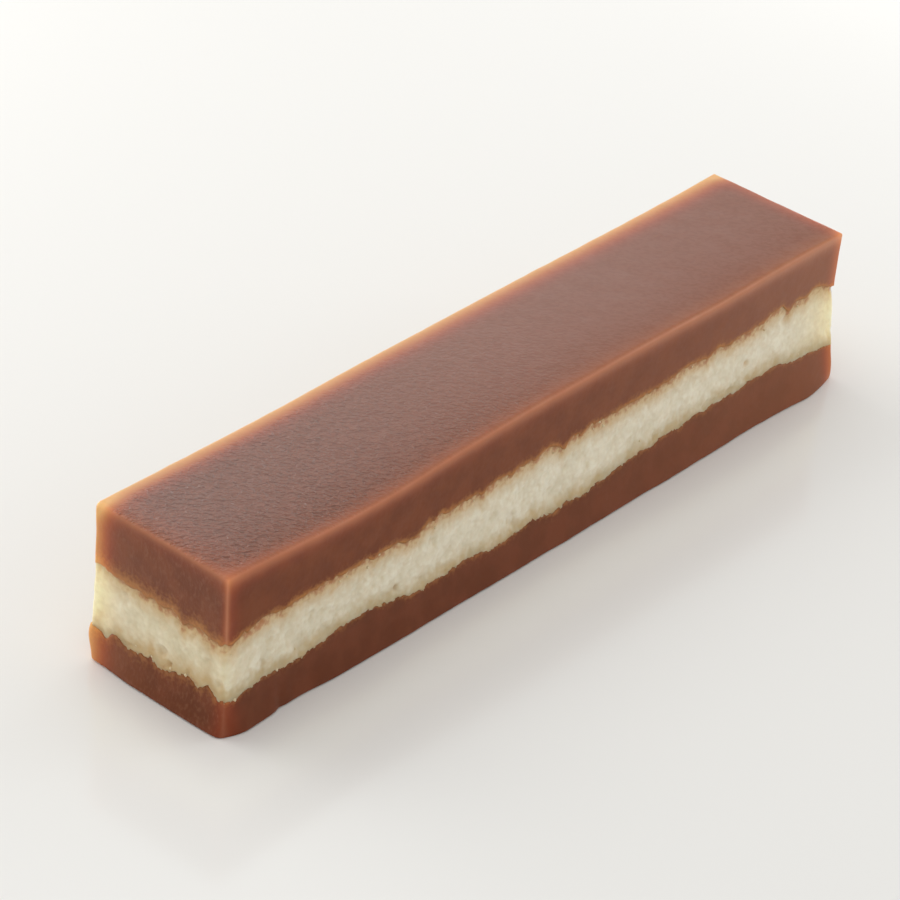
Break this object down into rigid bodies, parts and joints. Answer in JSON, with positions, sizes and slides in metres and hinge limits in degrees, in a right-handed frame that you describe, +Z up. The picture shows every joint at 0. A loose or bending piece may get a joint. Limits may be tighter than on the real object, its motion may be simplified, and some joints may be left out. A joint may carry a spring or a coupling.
{
  "type": "layered uiro sweet bar",
  "caption": "Slim square-cut bar of steamed rice cake: brown translucent layers over and under a pale crumb layer, lying flat.",
  "frame": {"origin": "the middle of the bar's outline on the surface that it rests on", "axes": "+X along the bar, +Y across it, +Z up; the long side at -Y and the cut end at -X are those the picture shows"},
  "size_m": [0.1368, 0.028, 0.0259],
  "materials": {
    "brown_uiro": "steamed rice flour cake, brown, slightly translucent, satin skin with fine wrinkles",
    "pale_crumb": "moist sieved crumb, cream white, matt and granular"
  },
  "bodies": {
    "root": {"uiro_top": "brown_uiro", "crumb_middle": "pale_crumb", "uiro_bottom": "brown_uiro"}
  },
  "joints": []
}
